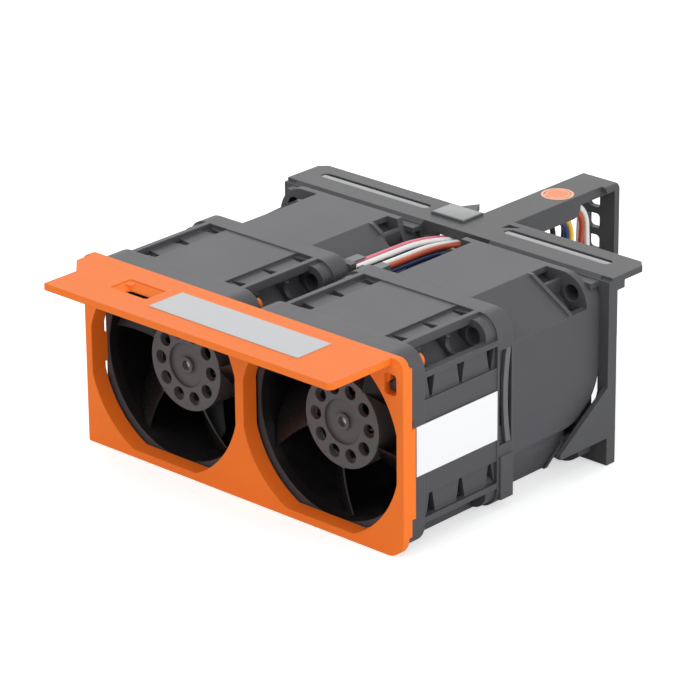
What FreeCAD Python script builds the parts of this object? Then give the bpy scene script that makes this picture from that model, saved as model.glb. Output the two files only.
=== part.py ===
import FreeCAD, Part
import math
import os

# Hot-swap fan module for a one-unit server: two 40 mm counter-rotating fans side by side in a
# moulded carrier, with a coloured front handle and a wiring arm at the back.
# Millimetres. X runs across the module, Y from the handle to the wiring arm, Z up.
# The parts are modelled with Y = 0 on the front face of the handle's plate, and every finished
# part is shifted by ORIGIN_SHIFT, so the origin lies under the middle of the whole module.

V = FreeCAD.Vector
AXIS_Y = V(0, 1, 0)
CENTRE = V(0, 0, 0)

# ---- fans: outside ----
fan_size = 40.0              # width and height of one fan
fan_half = fan_size / 2
fan_gap = 1.6                # between the two fans
front_stage_length = 31.0
rear_stage_length = 25.9
duct_margin = 1.3            # least wall between the duct and a fan's side
barrel_wall = 1.0
flange_corner_r = 4.4
front_flange_t = 5.8
seam_flange_t = 4.4
pad_margin = 10.4            # each side's raised pad ends this far from the fan's edge
pad_drop = 0.25              # the pad lies this much under the flanges
panel_margin = 5.8           # and the recessed panel beside it ends this far from the edge
panel_recess = 0.9
wall_t = 1.2
rail_w = 1.1
rail_depth = 1.8
notch_len = 2.4              # the notches in the panels are wide at the rail
notch_tip = 0.7              # and narrow at the pad
notch_lead = 1.5             # from the front flange to the first notch
rib_t = 1.0
rib_margin = 1.5             # the ribs' flats lie this far inside the fan's sides
rib_corner = 6.7             # and leave this much of each corner open
screw_hole_r = 1.75
screw_margin = 4.0           # from a fan's edge to its screw holes
bell_depth = 2.0             # flared mouth of the duct
bell_flare = 1.0
band_len = 6.0               # raised band at the front of the rear stage
slope_drop = 6.4             # corner slopes of the rear stage, measured down the side
slope_margin = 10.6          # and from the fan's edge across the top
panel_arc_r = 11.0           # round lower rear corner of the rear stage's side panels
panel_low = 10.5             # lower edge of those panels
side_recess = 1.7            # how far the housing falls back below them
rear_flange_t = 3.8
rear_flange_corner_r = 6.4
rear_pocket_len = 4.6        # open corners in front of the rear flange
pocket_rib_t = 0.8
pocket_rib_in = 2.6          # from the pad to the rib in each open corner
lip_t = 0.9                  # thin lips stand on the slopes' rear ends
lip_rise = 0.6
wire_notch_r = 8.6           # round notch in the rear flanges for the leads
wire_notch_rise = 1.3        # its centre lies this far above the fans
latch_slot_w = 3.6
latch_slot_depth = 1.0
latch_low = 13.4
latch_margin = 7.0           # from the fan's top to the slot's upper end
latch_lip = 0.3
lug_wall = 1.6               # round lugs behind the seam flange, about the screw holes
lug_len = 2.6
foot_block_out = 0.5         # block under each latch slot, standing off the side
foot_block_low = 2.2
clip_bar_w = 1.3
clip_bar_bow = 0.9
wire_boss_w = 3.6            # cable outlet beside the gap between the fans
wire_boss_len = 1.6
wire_boss_drop = 1.4
seat_gap = 0.1
press_gap = 0.02

# ---- fans: motors and rotors ----
hub_r = 9.4
hub_wall = 1.0
hub_face_t = 1.3
front_hub_setback = 4.8      # from the open end of a stage to the hub's face
rear_hub_setback = 2.4
hub_hole_count = 10
hub_hole_r = 1.4
hub_hole_ring_r = 6.85
hub_recess_r = 4.6
hub_recess_depth = 0.7
boss_r = 1.7
shaft_r = 1.0
tip_clearance = 0.45
front_blade_count = 5
rear_blade_count = 4
blade_root_t = 1.3
blade_tip_t = 0.8
blade_root_chord = (14.0, 8.0)    # along the axis, across it
blade_tip_chord = (13.0, 15.3)
blade_camber = 0.11          # of the chord
blade_forward_reach = 1.4    # blade tips stand this far in front of the hub's face
blade_sweep_deg = 10.0
blade_edge_share = 0.35      # of the blade's thickness, left at its edges
rear_blade_inset = 1.2       # from the rear hub's open end to its blades
front_rotor_turn_deg = (-131.0, -159.8)
rear_rotor_turn_deg = (20.0, 52.0)
yoke_wall = 0.7
magnet_t = 1.2
magnet_len = 12.0
air_gap = 0.4
bearing_r = 2.5
bearing_len = 2.5
bearing_tube_wall = 0.9
bearing_play = 0.03
pole_count = 6
core_ring_t = 0.8
pole_w = 1.6
shoe_t = 0.7
slot_gap = 0.8
core_len = 8.0
coil_t = 0.75
base_t = 2.2
base_r = 9.0
board_t = 1.0
rotor_run_gap = 1.0          # between the hub's skirt and the circuit board
clip_floor = 0.6             # left under the shaft's end
strut_count = 7
strut_t = 1.0
strut_lean_deg = 24.0
vane_gap = 0.5               # the vanes clear the hub by this much
vane_root = 0.15             # and run this far into the duct's wall

# ---- front handle ----
plate_side = 1.35            # how far the plate stands out beyond the fans
plate_rise = 0.2             # and above them
plate_t = 1.7
plate_corner_r = 4.0
plate_top_corner_r = 2.0
window_margin = 0.3          # flats at the sides of the windows, from the fan's side
window_floor_margin = 1.6    # flats at their top and bottom
window_overlap = 1.6         # the windows are this much larger than the duct, in radius
collar_t = 0.6
collar_depth = 3.6
collar_gap = 0.25            # between the handle's collar and the fan
slit_gap = 0.7               # open slit between the handle's collar and the duct
side_wall_t = 1.1
side_wall_depth = 2.5
side_pad_z = (16.4, 22.5)
tab_depth = 3.5
tab_low = 7.5
tab_high = 25.8
shelf_reach = 16.4
shelf_t = 1.4
shelf_left_in = 2.15         # the shelf's ends, from the plate's ends
shelf_right_in = 2.95
shelf_step_in = 6.35
shelf_notch_y = 7.9
shelf_corner = 0.8
slot_x = (-22.85, -15.2)
slot_y = (-9.35, -5.85)
slot_ramp = 2.0              # the slot's back and left edges slope down over this length
slot_lip = 0.25
slot_corner = 0.6
keyhole_size = (3.1, 4.2)
keyhole_margin = (1.65, 3.2)
keyhole_corner = 0.8
snap_pin_r = 1.5
snap_head_r = 2.15
snap_tip_r = 1.2
snap_head_len = 2.8
snap_slit = 0.7
sticker_t = 0.15
handle_sticker_x = (-12.2, 26.5)
handle_sticker_y = (-11.5, -2.4)
fan_sticker_y = (5.1, 28.1)
fan_sticker_z = (15.0, 25.1)

# ---- rear carrier and wiring arm ----
carrier_side = 2.35          # how far the carrier stands out beyond the fans
rear_plate_t = 2.5
strip_drop = 0.75            # from the fans' top to the strip's
strip_t = 1.3
strip_front_gap = 1.0        # from the fans' back face to the front edge of the raised strip
strip_depth = 10.7
strip_corner = 1.6
ledge_reach = 2.3            # a lip of the carrier that lies in a step of the fans' rear flanges
ledge_drop = 0.9
ledge_t = 1.1
ledge_in = 0.4               # the ledge ends inside the fans' outer sides
ledge_gap_x = (-5.6, 12.0)
groove_depth = 0.75
groove_w = 2.4
groove_lip = 0.15            # the floor rises to this much under the top at its front
groove_back = 3.5            # from the strip's back edge to the groove's back wall
groove_x = ((-38.9, -9.4), (10.8, 37.8))
side_rib_t = 1.2
gusset_reach = 14.2
gusset_low = 5.9
gusset_high = 16.5
gusset_tip = 0.9
foot_w = 12.0                # the rear plate stands on a foot at each end
foot_h = 1.2
stub_w = 2.0
stub_len = 2.2
stub_h = 1.6
plate_notch_x = (-2.6, 7.6)
plate_notch_drop = (0.75, 3.8)
strip_rib_x = (-36.0, -20.0, 20.0, 36.0)
strip_rib_drop = 5.0
peak_x = (-5.0, -1.0)        # small peak on the strip's back edge, beside the arm
peak_len = 3.4
root_mark = (3.2, 2.4, 0.6)  # sunk triangle beside the arm's root
badge_x = -2.5
badge_size = (8.6, 6.2)
badge_t = 0.4
badge_in = 1.0               # from the strip's back edge
arm_x = 5.1
arm_w = 8.0
arm_len = 31.5
arm_head_w = 9.6
arm_head_len = 4.0
arm_wall = 1.0
arm_top_t = 1.2
arm_web_h = 4.65
arm_step_in = 10.6           # from the arm's end to the step in its side walls
arm_step_h = 2.15
arm_post_t = 1.5
arm_post_low = 5.5
arm_corner_r = 1.0
arm_web_r = 2.2              # round lower corner where the side walls end
arm_hole_drop = (4.35, 8.95, 13.65)
arm_hole_w = 3.3
arm_hole_h = 3.2
arm_hole_corner = 0.8
tongue_len = 7.0             # the arm's tongue under the strip
tongue_t = 0.8
touch_in = 13.2              # from the arm's end to the middle of the touch point
touch_r = 3.4
touch_ring_w = 0.5
touch_disc_r = 2.45
touch_depth = 0.5
connector_w = 6.8
connector_gap = 0.95         # bridged by a pad on the arm's end wall
connector_len = 12.4
connector_low = 2.2
connector_h = 14.0
connector_corner_r = 0.6
contact_pitch = 2.5
contact_w = 0.64
contact_len = 9.0
cavity_w = 1.8
cavity_depth = 10.0

# ---- leads and their clip ----
wire_r = 0.58
bend_share = 0.45            # of a straight run, given up to the bend at its end
lead_x = (1.45, 2.85)        # columns of leads beside each fan's cable outlet
lead_drop = (4.0, 2.75)      # rows of leads, below the fans' top
channel_step = 1.45          # between columns in the arm
lead_square = 3.0            # straight run out of each outlet
lead_turn_in = (3.6, 4.3)    # turns ahead of the fans' back face and of the strip's back edge
lead_arm_in = 7.7            # from the strip's back edge into the arm
lead_fall = (0.2, 1.35, 1.1, 1.3)    # the leads' drop at each of their turns
lead_rise = 7.8              # upright run above the connector
clip_gap = 0.6               # from the cable outlets to the clip
clip_len = 3.6
clip_t = 0.4
clip_post_x = 3.65
clip_post_w = 0.8
clip_hook = 1.5
clip_hook_drop = 2.1
clip_tail_x = 8.5

# ---- places worked out from the sizes above ----
fan_pitch = fan_size + fan_gap
fan_x = (-fan_pitch / 2, fan_pitch / 2)
fan_z = fan_half
fan_side = fan_size + fan_gap / 2
duct_r = fan_half - duct_margin
pad_half = fan_half - pad_margin
panel_half = fan_half - panel_margin
slope_start = fan_half - slope_margin
tip_r = duct_r - tip_clearance
tube_r = bearing_r + press_gap + bearing_tube_wall
core_ring_r = tube_r + press_gap + core_ring_t
magnet_out_r = hub_r - hub_wall - yoke_wall - 2 * press_gap
magnet_in_r = magnet_out_r - magnet_t
core_r = magnet_in_r - air_gap
screw_places = [(x, z) for x in (screw_margin - fan_half, fan_half - screw_margin)
                for z in (screw_margin - fan_half, fan_half - screw_margin)]
latch_high = fan_size - latch_margin
plate_half = fan_side + plate_side
plate_h = fan_size + plate_rise
window_r = duct_r + window_overlap
window_flat = fan_half - window_margin
window_floor = fan_half - window_floor_margin
fan_front = plate_t
seam_y = fan_front + front_stage_length
fan_back = seam_y + rear_stage_length
strip_half = fan_side + carrier_side
strip_top = fan_size - strip_drop
strip_low = strip_top - strip_t
strip_front = fan_back + strip_front_gap
strip_back = strip_front + strip_depth
arm_end = strip_back + arm_len
plate_back = fan_back + rear_plate_t
badge_back = strip_back - badge_in
ledge_low = strip_top - ledge_drop - ledge_t
arm_left = arm_x - arm_w / 2
arm_right = arm_x + arm_w / 2
arm_web_low = strip_top - arm_web_h
arm_step_z = strip_top - arm_step_h
post_front = arm_end - arm_post_t
connector_top = connector_low + connector_h
clip_hook_low = fan_size - clip_hook_drop
# the leads drop onto the connector in four rows, in two columns
row_y = [post_front - connector_gap - connector_len / 2 + (k - 1.5) * contact_pitch for k in range(4)]
column_x = (arm_x - contact_pitch / 2, arm_x + contact_pitch / 2)
channel_x = [arm_x + (k - 1.5) * channel_step for k in range(4)]
lead_rows = [fan_size - drop for drop in lead_drop]
ORIGIN_SHIFT = V(0, -(arm_end - shelf_reach) / 2, 0)


# ---- building blocks ----

def box(x, y, z):
    """A block between (low, high) pairs."""
    return Part.makeBox(x[1] - x[0], y[1] - y[0], z[1] - z[0], V(x[0], y[0], z[0]))


def rod(r, y, x=0.0, z=0.0):
    """A round bar along Y."""
    return Part.makeCylinder(r, y[1] - y[0], V(x, y[0], z), AXIS_Y)


def tube(r_out, r_in, y, x=0.0, z=0.0):
    return rod(r_out, y, x, z).cut(rod(r_in, y, x, z))


def cone(r_start, r_end, y, x=0.0, z=0.0):
    return Part.makeCone(r_start, r_end, y[1] - y[0], V(x, y[0], z), AXIS_Y)


def prism(corners, along):
    face = Part.Face(Part.makePolygon(corners + corners[:1]))
    return face.extrude(along)


def prism_x(outline, x):
    return prism([V(x[0], y, z) for y, z in outline], V(x[1] - x[0], 0, 0))


def prism_y(outline, y):
    return prism([V(x, y[0], z) for x, z in outline], V(0, y[1] - y[0], 0))


def prism_z(outline, z):
    return prism([V(x, y, z[0]) for x, y in outline], V(0, 0, z[1] - z[0]))


def fuse(solids):
    return solids[0].fuse(list(solids[1:])).removeSplitter()


def cut(solid, tools):
    return solid.cut(Part.makeCompound(list(tools)))


def straight_edges(solid, direction):
    """The straight edges that run along a direction."""
    found = []
    for edge in solid.Edges:
        run = edge.Vertexes[-1].Point - edge.Vertexes[0].Point
        if run.Length > 0 and run.cross(direction).Length < 1e-6 * run.Length:
            found.append(edge)
    return found


def rounded(solid, r, direction):
    return solid.makeFillet(r, straight_edges(solid, direction))


def round_square(size, r, y):
    half = size / 2
    return rounded(box((-half, half), y, (-half, half)), r, AXIS_Y)


def four_sides(solid):
    return [solid.rotated(CENTRE, AXIS_Y, 90 * k) for k in range(4)]


def export(name, solids):
    shape = solids[0] if len(solids) == 1 else Part.makeCompound(list(solids))
    shape.translated(ORIGIN_SHIFT).exportStep("parts/" + name + ".step")


# ---- fan housings, modelled about the fan's axis with Y = 0 at the stage's front ----

def window(r, flat, floor, y):
    """A round opening with a flat at each side, at the top and at the bottom."""
    return rod(r, y).common(box((-flat, flat), y, (-floor, floor)))


def duct_side(y, notch_starts):
    """One wall of the front stage: a raised pad, notched recessed panels and slim edge rails."""
    pad_top = fan_half - pad_drop
    panel_top = fan_half - panel_recess
    pieces = [
        box((-pad_half, pad_half), y, (pad_top - wall_t, pad_top)),
        box((-panel_half, panel_half), y, (panel_top - wall_t, panel_top)),
    ]
    notches = []
    for sign in (-1, 1):
        rail_x = sorted((sign * panel_half, sign * (panel_half + rail_w)))
        pieces.append(box(rail_x, y, (fan_half - rail_depth, fan_half)))
        for start in notch_starts:
            middle = start + notch_len / 2
            corners = [(sign * pad_half, middle - notch_tip / 2), (sign * panel_half, start),
                       (sign * panel_half, start + notch_len), (sign * pad_half, middle + notch_tip / 2)]
            notches.append(prism_z(corners, (0, fan_size)))
    return cut(fuse(pieces), notches)


def corner_rib(y):
    """A thin frame around the duct that carries the panels and rails."""
    reach = fan_half - rib_margin
    short = fan_half - rib_corner
    outline = [(-short, reach), (short, reach), (reach, short), (reach, -short),
               (short, -reach), (-short, -reach), (-reach, -short), (-reach, short)]
    return prism_y(outline, y)


class Stage:
    """Where a motor's pieces lie in a stage whose open end is at Y = 0."""

    def __init__(self, length, setback):
        self.length = length
        self.face = setback
        self.inside = setback + hub_face_t
        self.tube_end = self.inside + rotor_run_gap
        self.base = length - base_t
        self.board = self.base - board_t
        self.skirt = self.board - rotor_run_gap
        self.middle = (self.inside + self.skirt) / 2


FRONT = Stage(front_stage_length, front_hub_setback)
REAR = Stage(rear_stage_length, rear_hub_setback)


def motor_base(stage):
    """Disc, bearing tube and leaning vanes that carry a motor at the closed end of a stage."""
    end = stage.length
    disc = rod(base_r, (stage.base, end))
    barrel = rod(tube_r, (stage.tube_end, end))
    vane_len = 2 * base_t
    vane = box((base_r - hub_wall, duct_r + vane_root), (-vane_len, vane_len), (-strut_t / 2, strut_t / 2))
    vane = vane.rotated(CENTRE, V(1, 0, 0), strut_lean_deg).translated(V(0, end - vane_len / 2, 0))
    room = rod(fan_half, (end - vane_len, end)).cut(rod(hub_r + vane_gap, (0, stage.base)))
    vane = vane.common(room)
    vanes = [vane.rotated(CENTRE, AXIS_Y, 360 * k / strut_count) for k in range(strut_count)]
    pocket = rod(bearing_r + press_gap, (stage.tube_end, end - clip_floor))
    return fuse([disc, barrel] + vanes).cut(pocket)


def front_housing():
    length = front_stage_length
    seam_flange = length - seam_flange_t
    notch_pitch = (seam_flange - front_flange_t - notch_lead - notch_len) / 2
    notch_starts = [front_flange_t + notch_lead + k * notch_pitch for k in range(3)]
    pieces = [
        round_square(fan_size, flange_corner_r, (0, front_flange_t)),
        round_square(fan_size, flange_corner_r, (seam_flange, length)),
        rod(duct_r + barrel_wall, (0, length)),
    ]
    pieces += four_sides(duct_side((front_flange_t, seam_flange), notch_starts))
    for start in notch_starts[:2]:
        pieces.append(corner_rib((start + notch_len, start + notch_len + rib_t)))
    lug_y = (seam_flange - lug_len, seam_flange)
    pieces += [rod(screw_hole_r + lug_wall, lug_y, x, z) for x, z in screw_places]
    latch_y = (length - latch_slot_w - latch_lip, length - latch_lip)
    for sign in (-1, 1):
        foot_x = sorted((sign * (fan_half - wall_t), sign * (fan_half + foot_block_out)))
        foot_z = (foot_block_low - fan_half, latch_low - foot_block_low - fan_half)
        pieces.append(box(foot_x, latch_y, foot_z))
    body = fuse(pieces)
    collar_room = collar_t + collar_gap
    recess_y = (0, collar_depth + slit_gap - plate_t)
    tools = [
        rod(duct_r, (0, length)),
        cone(duct_r + bell_flare, duct_r, (0, bell_depth + recess_y[1])),
        window(window_r + collar_room, window_flat + collar_room, window_floor + collar_room, recess_y),
    ]
    tools += [rod(screw_hole_r, (0, length), x, z) for x, z in screw_places]
    latch_z = (latch_low - fan_half, latch_high - fan_half)
    for x in ((-fan_size, latch_slot_depth - fan_half), (fan_half - latch_slot_depth, fan_size)):
        tools.append(box(x, latch_y, latch_z))
    return fuse([cut(body, tools), motor_base(FRONT)])


def slope_outline(raised=0.0):
    """Outline of the rear stage: wide shallow slopes above, steep ones below."""
    share = raised / slope_drop
    start = slope_start + share * slope_margin
    low_start = fan_half - slope_drop + raised
    return [(-start, fan_half), (start, fan_half), (fan_half, low_start), (fan_half, -start),
            (low_start, -fan_half), (-low_start, -fan_half), (-fan_half, -start), (-fan_half, low_start)]


def side_panel(sign):
    """Side wall of the rear stage, with its lower rear corner cut away by a large round."""
    x = sorted((sign * (fan_half - side_recess), sign * fan_half))
    panel = box(x, (0, rear_stage_length), (panel_low - fan_half, fan_half - slope_drop))
    corner = [e for e in straight_edges(panel, V(1, 0, 0))
              if e.CenterOfMass.y > rear_stage_length / 2 and e.CenterOfMass.z < 0]
    return panel.makeFillet(panel_arc_r, corner)


def rear_housing(inner):
    """Rear stage, seam at Y = 0. inner is -1 or 1, the side that faces the other fan."""
    length = rear_stage_length
    flange_y = (length - rear_flange_t, length)
    body_end = length - rear_flange_t - rear_pocket_len
    pieces = [
        prism_y(slope_outline(), (0, body_end)),
        prism_y(slope_outline(lip_rise), (body_end - lip_t, body_end)),
        rod(duct_r + barrel_wall, (0, length)),
        round_square(fan_size, rear_flange_corner_r, flange_y),
    ]
    under = box((-fan_size, fan_size), (band_len, flange_y[1]), (-fan_size, fan_half - slope_drop))
    core = box((side_recess - fan_half, fan_half - side_recess), (0, length), (-fan_size, fan_size))
    rim = fuse(pieces)
    rim = rim.cut(under.cut(core))
    pad = box((-pad_half, pad_half), (body_end, flange_y[0]), (fan_half - wall_t, fan_half))
    rib_x = (pad_half + pocket_rib_in, pad_half + pocket_rib_in + pocket_rib_t)
    rib = box(rib_x, (body_end, flange_y[0]), (fan_half - rib_corner, fan_half - rail_depth))
    boss_x = sorted((inner * fan_half, inner * (fan_half - wire_boss_w)))
    boss = box(boss_x, (0, wire_boss_len), (fan_half - slope_drop - wall_t, fan_half - wire_boss_drop))
    body = fuse([rim, side_panel(-1), side_panel(1), boss, pad] + four_sides(rib))
    notch_place = (inner * (fan_half + fan_gap / 2), fan_half + wire_notch_rise)
    tools = [
        rod(duct_r, (0, length)),
        box((-fan_half, fan_half), (length - ledge_reach, length), (ledge_low - fan_z, fan_size)),
        rod(wire_notch_r, (body_end - lip_t, length), notch_place[0], notch_place[1]),
    ]
    tools += [rod(screw_hole_r, flange_y, x, z) for x, z in screw_places]
    base = motor_base(REAR).mirror(CENTRE, AXIS_Y).translated(V(0, length, 0))
    return fuse([cut(body, tools), base])


def bowed_bar(x, y, z):
    """An upright spring bar whose middle stands forward of its ends."""
    middle = (z[0] + z[1]) / 2
    sides = []
    for edge_y in y:
        ends = [V(x[0], edge_y, height) for height in z]
        bow = V(x[0], edge_y - clip_bar_bow, middle)
        sides.append(Part.Arc(ends[0], bow, ends[1]).toShape())
    caps = [Part.makeLine(V(x[0], y[0], height), V(x[0], y[1], height)) for height in z]
    outline = Part.Wire([sides[0], caps[1], sides[1], caps[0]])
    return Part.Face(outline).extrude(V(x[1] - x[0], 0, 0))


def stage_clips(fan):
    """Two upright spring bars that hold a fan's stages together, one in each side's slot."""
    back = seam_y - latch_lip - seat_gap
    z = (latch_low + seat_gap, latch_high - seat_gap)
    bars = []
    for sign in (-1, 1):
        x = sorted((sign * (fan_half - latch_slot_depth + seat_gap), sign * (fan_half - seat_gap)))
        bars.append(bowed_bar(x, (back - clip_bar_w, back), z).translated(V(fan, 0, 0)))
    return bars


def lengthwise(solids, fan, start):
    """Move pieces from a stage's own frame, with its open end in front, into the module."""
    return [solid.translated(V(fan, start, fan_z)) for solid in solids]


def reversed_stage(solids, fan):
    """The same for the rear stage, whose open end faces backwards."""
    return [solid.mirror(CENTRE, AXIS_Y).translated(V(fan, fan_back, fan_z)) for solid in solids]


# ---- rotors ----

def blade_section(radius, angle_deg, chord, thickness, lead_y, way, spin):
    """Closed lens outline of a blade in the plane that touches a cylinder of this radius.

    way is 1 where the air moves along +Y and -1 where it moves along -Y; spin is the sense of
    rotation seen from the front.
    """
    angle = math.radians(angle_deg)
    outward = V(math.cos(angle), 0, math.sin(angle))
    across = V(-math.sin(angle), 0, math.cos(angle)) * spin
    axial, tangential = chord
    length = math.hypot(axial, tangential)
    lead = V(0, lead_y, 0) + across * (tangential / 2)
    trail = V(0, lead_y + way * axial, 0) - across * (tangential / 2)
    pressure = (V(0, way * tangential, 0) + across * axial) * (1 / length)
    middle = (lead + trail) * 0.5 - pressure * (blade_camber * length)
    half = pressure * (thickness / 2)
    edge = half * blade_edge_share
    centre = outward * radius
    back = Part.Arc(centre + lead - edge, centre + middle - half, centre + trail - edge).toShape()
    end = Part.makeLine(centre + trail - edge, centre + trail + edge)
    front = Part.Arc(centre + trail + edge, centre + middle + half, centre + lead + edge).toShape()
    start = Part.makeLine(centre + lead + edge, centre + lead - edge)
    return Part.Wire([back, end, front, start])


def blade(turn_deg, lead_y, tip_lead_y, way, spin):
    """One twisted blade, lofted from inside the hub to the tip."""
    sections = []
    root_plane = hub_r - 2 * hub_wall
    tip_plane = tip_r + strut_t / 2
    for share in (0.0, 0.5, 1.0):
        radius = root_plane + share * (tip_plane - root_plane)
        chord = [r + share * (t - r) for r, t in zip(blade_root_chord, blade_tip_chord)]
        reach = math.hypot(radius, chord[1] / 2)
        swept = blade_sweep_deg * (reach - hub_r) / (tip_r - hub_r)
        lead_deg = turn_deg + spin * swept
        angle = lead_deg - spin * math.degrees(math.asin(chord[1] / 2 / reach))
        thickness = blade_root_t + share * (blade_tip_t - blade_root_t)
        y = lead_y + share * (tip_lead_y - lead_y)
        sections.append(blade_section(radius, angle, chord, thickness, y, way, spin))
    solid = Part.makeLoft(sections, True)
    return solid.common(tube(tip_r, hub_r - hub_wall / 2, (-fan_size, fan_size * 2)))


def hub(stage):
    body = rod(hub_r, (stage.face, stage.skirt))
    tools = [
        rod(hub_r - hub_wall, (stage.inside, stage.skirt)),
        tube(hub_recess_r, boss_r, (stage.face, stage.face + hub_recess_depth)),
        rod(shaft_r + press_gap, (stage.face, stage.inside)),
    ]
    for k in range(hub_hole_count):
        turn = 2 * math.pi * k / hub_hole_count
        x = hub_hole_ring_r * math.cos(turn)
        z = hub_hole_ring_r * math.sin(turn)
        tools.append(rod(hub_hole_r, (stage.face, stage.inside), x, z))
    return cut(body, tools)


def impeller(stage, count, turn_deg, spin, way):
    if way > 0:
        lead_y = stage.face
        tip_lead_y = stage.face - blade_forward_reach
    else:
        lead_y = stage.skirt - rear_blade_inset
        tip_lead_y = lead_y
    first = blade(turn_deg, lead_y, tip_lead_y, way, spin)
    blades = [first.rotated(CENTRE, AXIS_Y, 360 * k / count) for k in range(count)]
    return hub(stage).fuse(blades)


def yoke(stage):
    outside = hub_r - hub_wall - press_gap
    return tube(outside, outside - yoke_wall, (stage.inside, stage.skirt))


def magnet(stage):
    """Ring magnet, held in the yoke."""
    return tube(magnet_out_r, magnet_in_r, (stage.middle - magnet_len / 2, stage.middle + magnet_len / 2))


def shaft(stage):
    return rod(shaft_r, (stage.face + hub_recess_depth, stage.length - clip_floor - seat_gap))


def bearings(stage):
    """The two bearings at the ends of the tube."""
    spans = [
        (stage.tube_end, stage.tube_end + bearing_len),
        (stage.length - clip_floor - bearing_len, stage.length - clip_floor),
    ]
    return [tube(bearing_r, shaft_r + bearing_play, span) for span in spans]


def stator_core(stage):
    """Laminated core: a ring with poles that end in curved shoes."""
    y = (stage.middle - core_len / 2, stage.middle + core_len / 2)
    ring = tube(core_ring_r, tube_r + press_gap, y)
    poles = []
    for k in range(pole_count):
        pole = box((core_ring_r - core_ring_t / 2, core_r - shoe_t / 2), y, (-pole_w / 2, pole_w / 2))
        poles.append(pole.rotated(CENTRE, AXIS_Y, 360 * k / pole_count))
    shoes = tube(core_r, core_r - shoe_t, y)
    slots = []
    for k in range(pole_count):
        slot = box((0, core_r + 1), y, (-slot_gap / 2, slot_gap / 2))
        slots.append(slot.rotated(CENTRE, AXIS_Y, 360 * (k + 0.5) / pole_count))
    return fuse([ring] + poles + [cut(shoes, slots)])


def windings(stage):
    """One coil round each pole of the core."""
    reach = core_len / 2 + press_gap
    side = pole_w / 2 + press_gap
    coil_half = side + coil_t
    x = (core_ring_r + seat_gap, math.sqrt((core_r - shoe_t) ** 2 - coil_half ** 2) - seat_gap)
    outer = box(x, (stage.middle - reach - coil_t, stage.middle + reach + coil_t), (-coil_half, coil_half))
    coil = outer.cut(box(x, (stage.middle - reach, stage.middle + reach), (-side, side)))
    return [coil.rotated(CENTRE, AXIS_Y, 360 * k / pole_count) for k in range(pole_count)]


def circuit_board(stage):
    return tube(base_r, tube_r + seat_gap, (stage.board, stage.base))


# ---- front handle ----

def windows(y, grow=0.0):
    """The two air openings, grown outwards by a wall or a gap."""
    found = []
    for fan in fan_x:
        shape = window(window_r + grow, window_flat + grow, window_floor + grow, y)
        found.append(shape.translated(V(fan, 0, fan_z)))
    return found


def snap_pin():
    """Split pin with a tapered head behind the fan's flange, standing on the plate's back."""
    flange_back = fan_front + front_flange_t
    head_y = (flange_back + seat_gap, flange_back + seat_gap + snap_head_len)
    stem = rod(snap_pin_r, (fan_front - plate_t / 2, head_y[1]))
    pin = fuse([stem, cone(snap_head_r, snap_tip_r, head_y)])
    slit = box((-snap_slit / 2, snap_slit / 2), (fan_front + front_flange_t / 2, head_y[1]),
               (-snap_head_r, snap_head_r))
    return pin.cut(slit)


def handle_shelf():
    """Finger shelf across the top, with a step in its left end and a slot with sloped edges."""
    left = shelf_left_in - plate_half
    front_left = shelf_step_in - plate_half
    right = plate_half - shelf_right_in
    step = front_left - left
    outline = [
        (left, plate_t), (left, step - shelf_notch_y), (front_left, -shelf_notch_y),
        (front_left, -shelf_reach), (right - shelf_corner, -shelf_reach),
        (right, shelf_corner - shelf_reach), (right, plate_t),
    ]
    low = plate_h - shelf_t
    above = plate_h + shelf_t
    shelf = prism_z(outline, (low, plate_h))
    slot = rounded(box(slot_x, slot_y, (low - shelf_t, above)), slot_corner, V(0, 0, 1))
    back = prism_x([(slot_y[1] - slot_corner, low), (slot_y[1] + slot_ramp, plate_h),
                    (slot_y[1] + slot_ramp, above), (slot_y[1] - slot_corner, above)], slot_x)
    side = prism_y([(slot_x[0] + slot_corner, low), (slot_x[0] - slot_ramp, plate_h),
                    (slot_x[0] - slot_ramp, above), (slot_x[0] + slot_corner, above)], slot_y)
    lip_x = (slot_x[0] - slot_ramp, slot_x[1])
    lip_y = (slot_y[0], slot_y[1] + slot_ramp)
    lip = box(lip_x, lip_y, (plate_h - slot_lip, above))
    return cut(shelf, [slot, back, side, rounded(lip, slot_corner, V(0, 0, 1))])


def front_handle():
    half = plate_half
    plate = box((-half, half), (0, plate_t), (0, plate_h))
    lower_right = [e for e in straight_edges(plate, AXIS_Y)
                   if e.CenterOfMass.x > 0 and e.CenterOfMass.z < plate_t]
    side_top = plate_h - plate_top_corner_r
    plate = plate.makeFillet(plate_corner_r, lower_right)
    upper = [e for e in straight_edges(plate, AXIS_Y) if e.CenterOfMass.z > side_top]
    plate = plate.makeFillet(plate_top_corner_r, upper)
    pieces = [plate, handle_shelf()]
    pieces += windows((plate_t / 2, collar_depth), collar_t)
    window_side = fan_x[1] + window_flat
    for sign in (-1, 1):
        wall_x = sorted((sign * half, sign * (half - side_wall_t)))
        low = plate_corner_r if sign > 0 else 0
        pieces.append(box(wall_x, (plate_t / 2, side_wall_depth), (low, side_top)))
        pieces.append(box(wall_x, (plate_t / 2, tab_depth), (tab_low, tab_high)))
        pad_x = sorted((sign * window_side, sign * (window_side + collar_t)))
        pieces.append(box(pad_x, (plate_t, collar_depth + slit_gap), side_pad_z))
    body = fuse(pieces)
    keyhole_x = (half - keyhole_margin[0] - keyhole_size[0], half - keyhole_margin[0])
    keyhole_z = (plate_h - keyhole_margin[1] - keyhole_size[1], plate_h - keyhole_margin[1])
    keyhole = rounded(box(keyhole_x, (-plate_t, 2 * plate_t), keyhole_z), keyhole_corner, AXIS_Y)
    body = cut(body, windows((-plate_t, fan_size)) + [keyhole])
    corner = fan_half - screw_margin
    pins = [snap_pin().translated(V(fan + corner, 0, fan_z + corner)) for fan in fan_x]
    return body.fuse(pins)


# ---- rear carrier and wiring arm ----

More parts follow.
